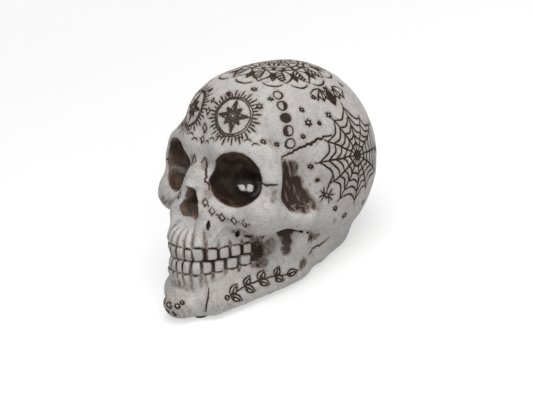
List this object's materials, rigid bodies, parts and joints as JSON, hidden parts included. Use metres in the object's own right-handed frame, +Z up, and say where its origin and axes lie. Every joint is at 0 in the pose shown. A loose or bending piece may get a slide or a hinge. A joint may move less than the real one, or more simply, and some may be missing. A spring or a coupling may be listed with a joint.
{
  "type": "skull ornament",
  "caption": "Free-standing hollow cast-resin human skull ornament with deep eye sockets, bared teeth and a bonded lower jaw, standing on a flat underside with rubber feet.",
  "frame": {"origin": "middle of the whole part's box in plan, on the table that the feet stand on", "axes": "+Z up from the table, -Y the way the face looks, +X to the skull's own left"},
  "size_m": [0.1226, 0.1852, 0.1329],
  "materials": {
    "bone_resin": "cast resin painted bone grey with a dark umber wash in the hollows and engraved lines",
    "plug_rubber": "dark matt rubber stopper",
    "foot_rubber": "black matt stick-on rubber"
  },
  "bodies": {
    "root": {"cranium_casting": "bone_resin", "jaw_casting": "bone_resin", "base_plug": "plug_rubber", "rubber_foot_front_left": "foot_rubber", "rubber_foot_front_right": "foot_rubber", "rubber_foot_rear_left": "foot_rubber", "rubber_foot_rear_right": "foot_rubber"}
  },
  "joints": []
}
